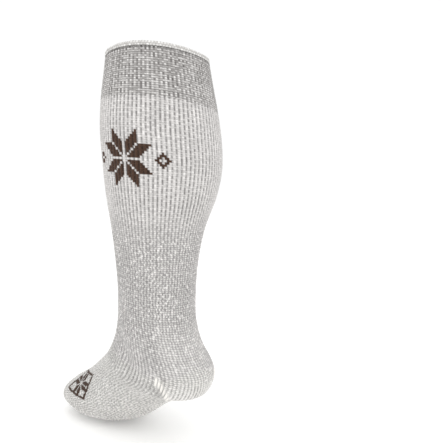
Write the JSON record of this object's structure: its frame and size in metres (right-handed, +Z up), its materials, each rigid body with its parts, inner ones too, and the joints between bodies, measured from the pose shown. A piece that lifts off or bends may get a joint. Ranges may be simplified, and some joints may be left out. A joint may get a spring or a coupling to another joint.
{
  "type": "sock",
  "caption": "Tall knitted boot sock for a left foot, hollow, with a marled cuff, ribbed leg, plain ankle, turned heel and closed toe, in the form it has when worn.",
  "frame": {"origin": "centre of the leg opening, on the leg's axis", "axes": "+Z up the leg, out of the opening; -Y towards the toe; +X to the outer side of the left leg"},
  "size_m": [0.12, 0.2346, 0.3964],
  "materials": {
    "edge_knit": "white knitted selvedge, matt",
    "cuff_knit": "grey and white marled rib knit, matt",
    "leg_knit": "pale warm grey wool-blend knit, ribbed above and plain below, with a dark brown knitted-in motif",
    "foot_knit": "pale warm grey terry-backed knit, pebbly, matt"
  },
  "bodies": {
    "root": {"top_edge": "edge_knit", "cuff": "cuff_knit", "calf": "leg_knit", "ankle": "leg_knit", "heel": "foot_knit", "foot": "foot_knit", "toe": "foot_knit"}
  },
  "joints": []
}
